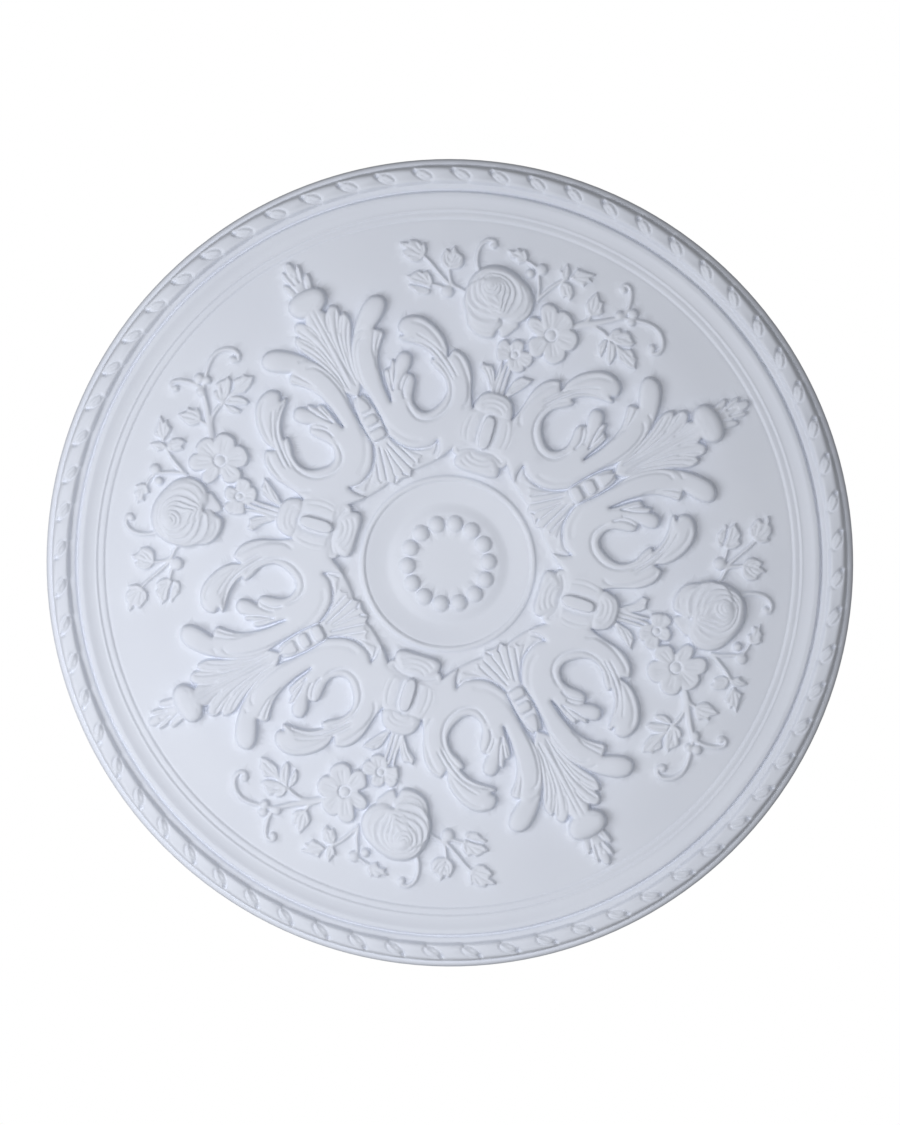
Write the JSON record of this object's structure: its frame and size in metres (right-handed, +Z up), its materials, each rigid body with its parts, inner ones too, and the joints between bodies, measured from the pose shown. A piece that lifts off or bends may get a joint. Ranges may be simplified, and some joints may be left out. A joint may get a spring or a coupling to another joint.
{
  "type": "ceiling rose",
  "caption": "Round moulded ceiling rose with a rope-moulded rim, four acanthus scroll groups, buckles, rose sprays and a beaded centre boss.",
  "frame": {"origin": "centre of the flat back, where it is glued to the ceiling", "axes": "+Z up into the ceiling, so the ornament faces down along -Z; +X towards the picture's right and -Y towards the picture's top"},
  "size_m": [0.808, 0.808, 0.0355],
  "materials": {
    "casting": "matt white, as moulded and primed"
  },
  "bodies": {
    "root": {"ceiling_rose": "casting"}
  },
  "joints": []
}
